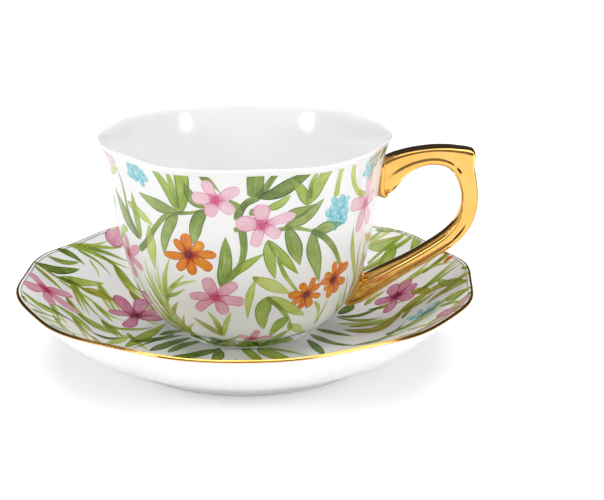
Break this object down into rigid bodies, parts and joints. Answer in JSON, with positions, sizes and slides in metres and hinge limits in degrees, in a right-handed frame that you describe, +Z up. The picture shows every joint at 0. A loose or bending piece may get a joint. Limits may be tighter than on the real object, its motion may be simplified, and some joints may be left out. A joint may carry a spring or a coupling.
{
  "type": "teacup with saucer",
  "caption": "Lobed porcelain teacup with a gilded loop handle, standing in a deep, wavy-edged saucer with a gilded rim.",
  "frame": {"origin": "on the table, under the middle of the saucer's foot ring", "axes": "+Z up along the cup's and saucer's common axis, +X from that axis towards the handle, +Y away from a drinker who has the handle on the right"},
  "size_m": [0.1502, 0.1502, 0.0749],
  "materials": {
    "saucer_glaze": "clear gloss glaze over white bone china, printed with a watercolour flower pattern on the upper side",
    "rim_gold": "burnished bright gold film",
    "cup_glaze": "clear gloss glaze over white bone china, printed outside with a watercolour flower pattern",
    "handle_gold": "bone china under a burnished bright gold film"
  },
  "bodies": {
    "saucer": {"saucer": "saucer_glaze", "saucer_rim_gilding": "rim_gold"},
    "cup": {"cup_body": "cup_glaze", "handle": "handle_gold"}
  },
  "joints": [
    {"name": "cup_lift", "type": "slide", "parent": "saucer", "child": "cup", "axis": [0, 0, 1], "range_m": [0, 0.1]}
  ]
}
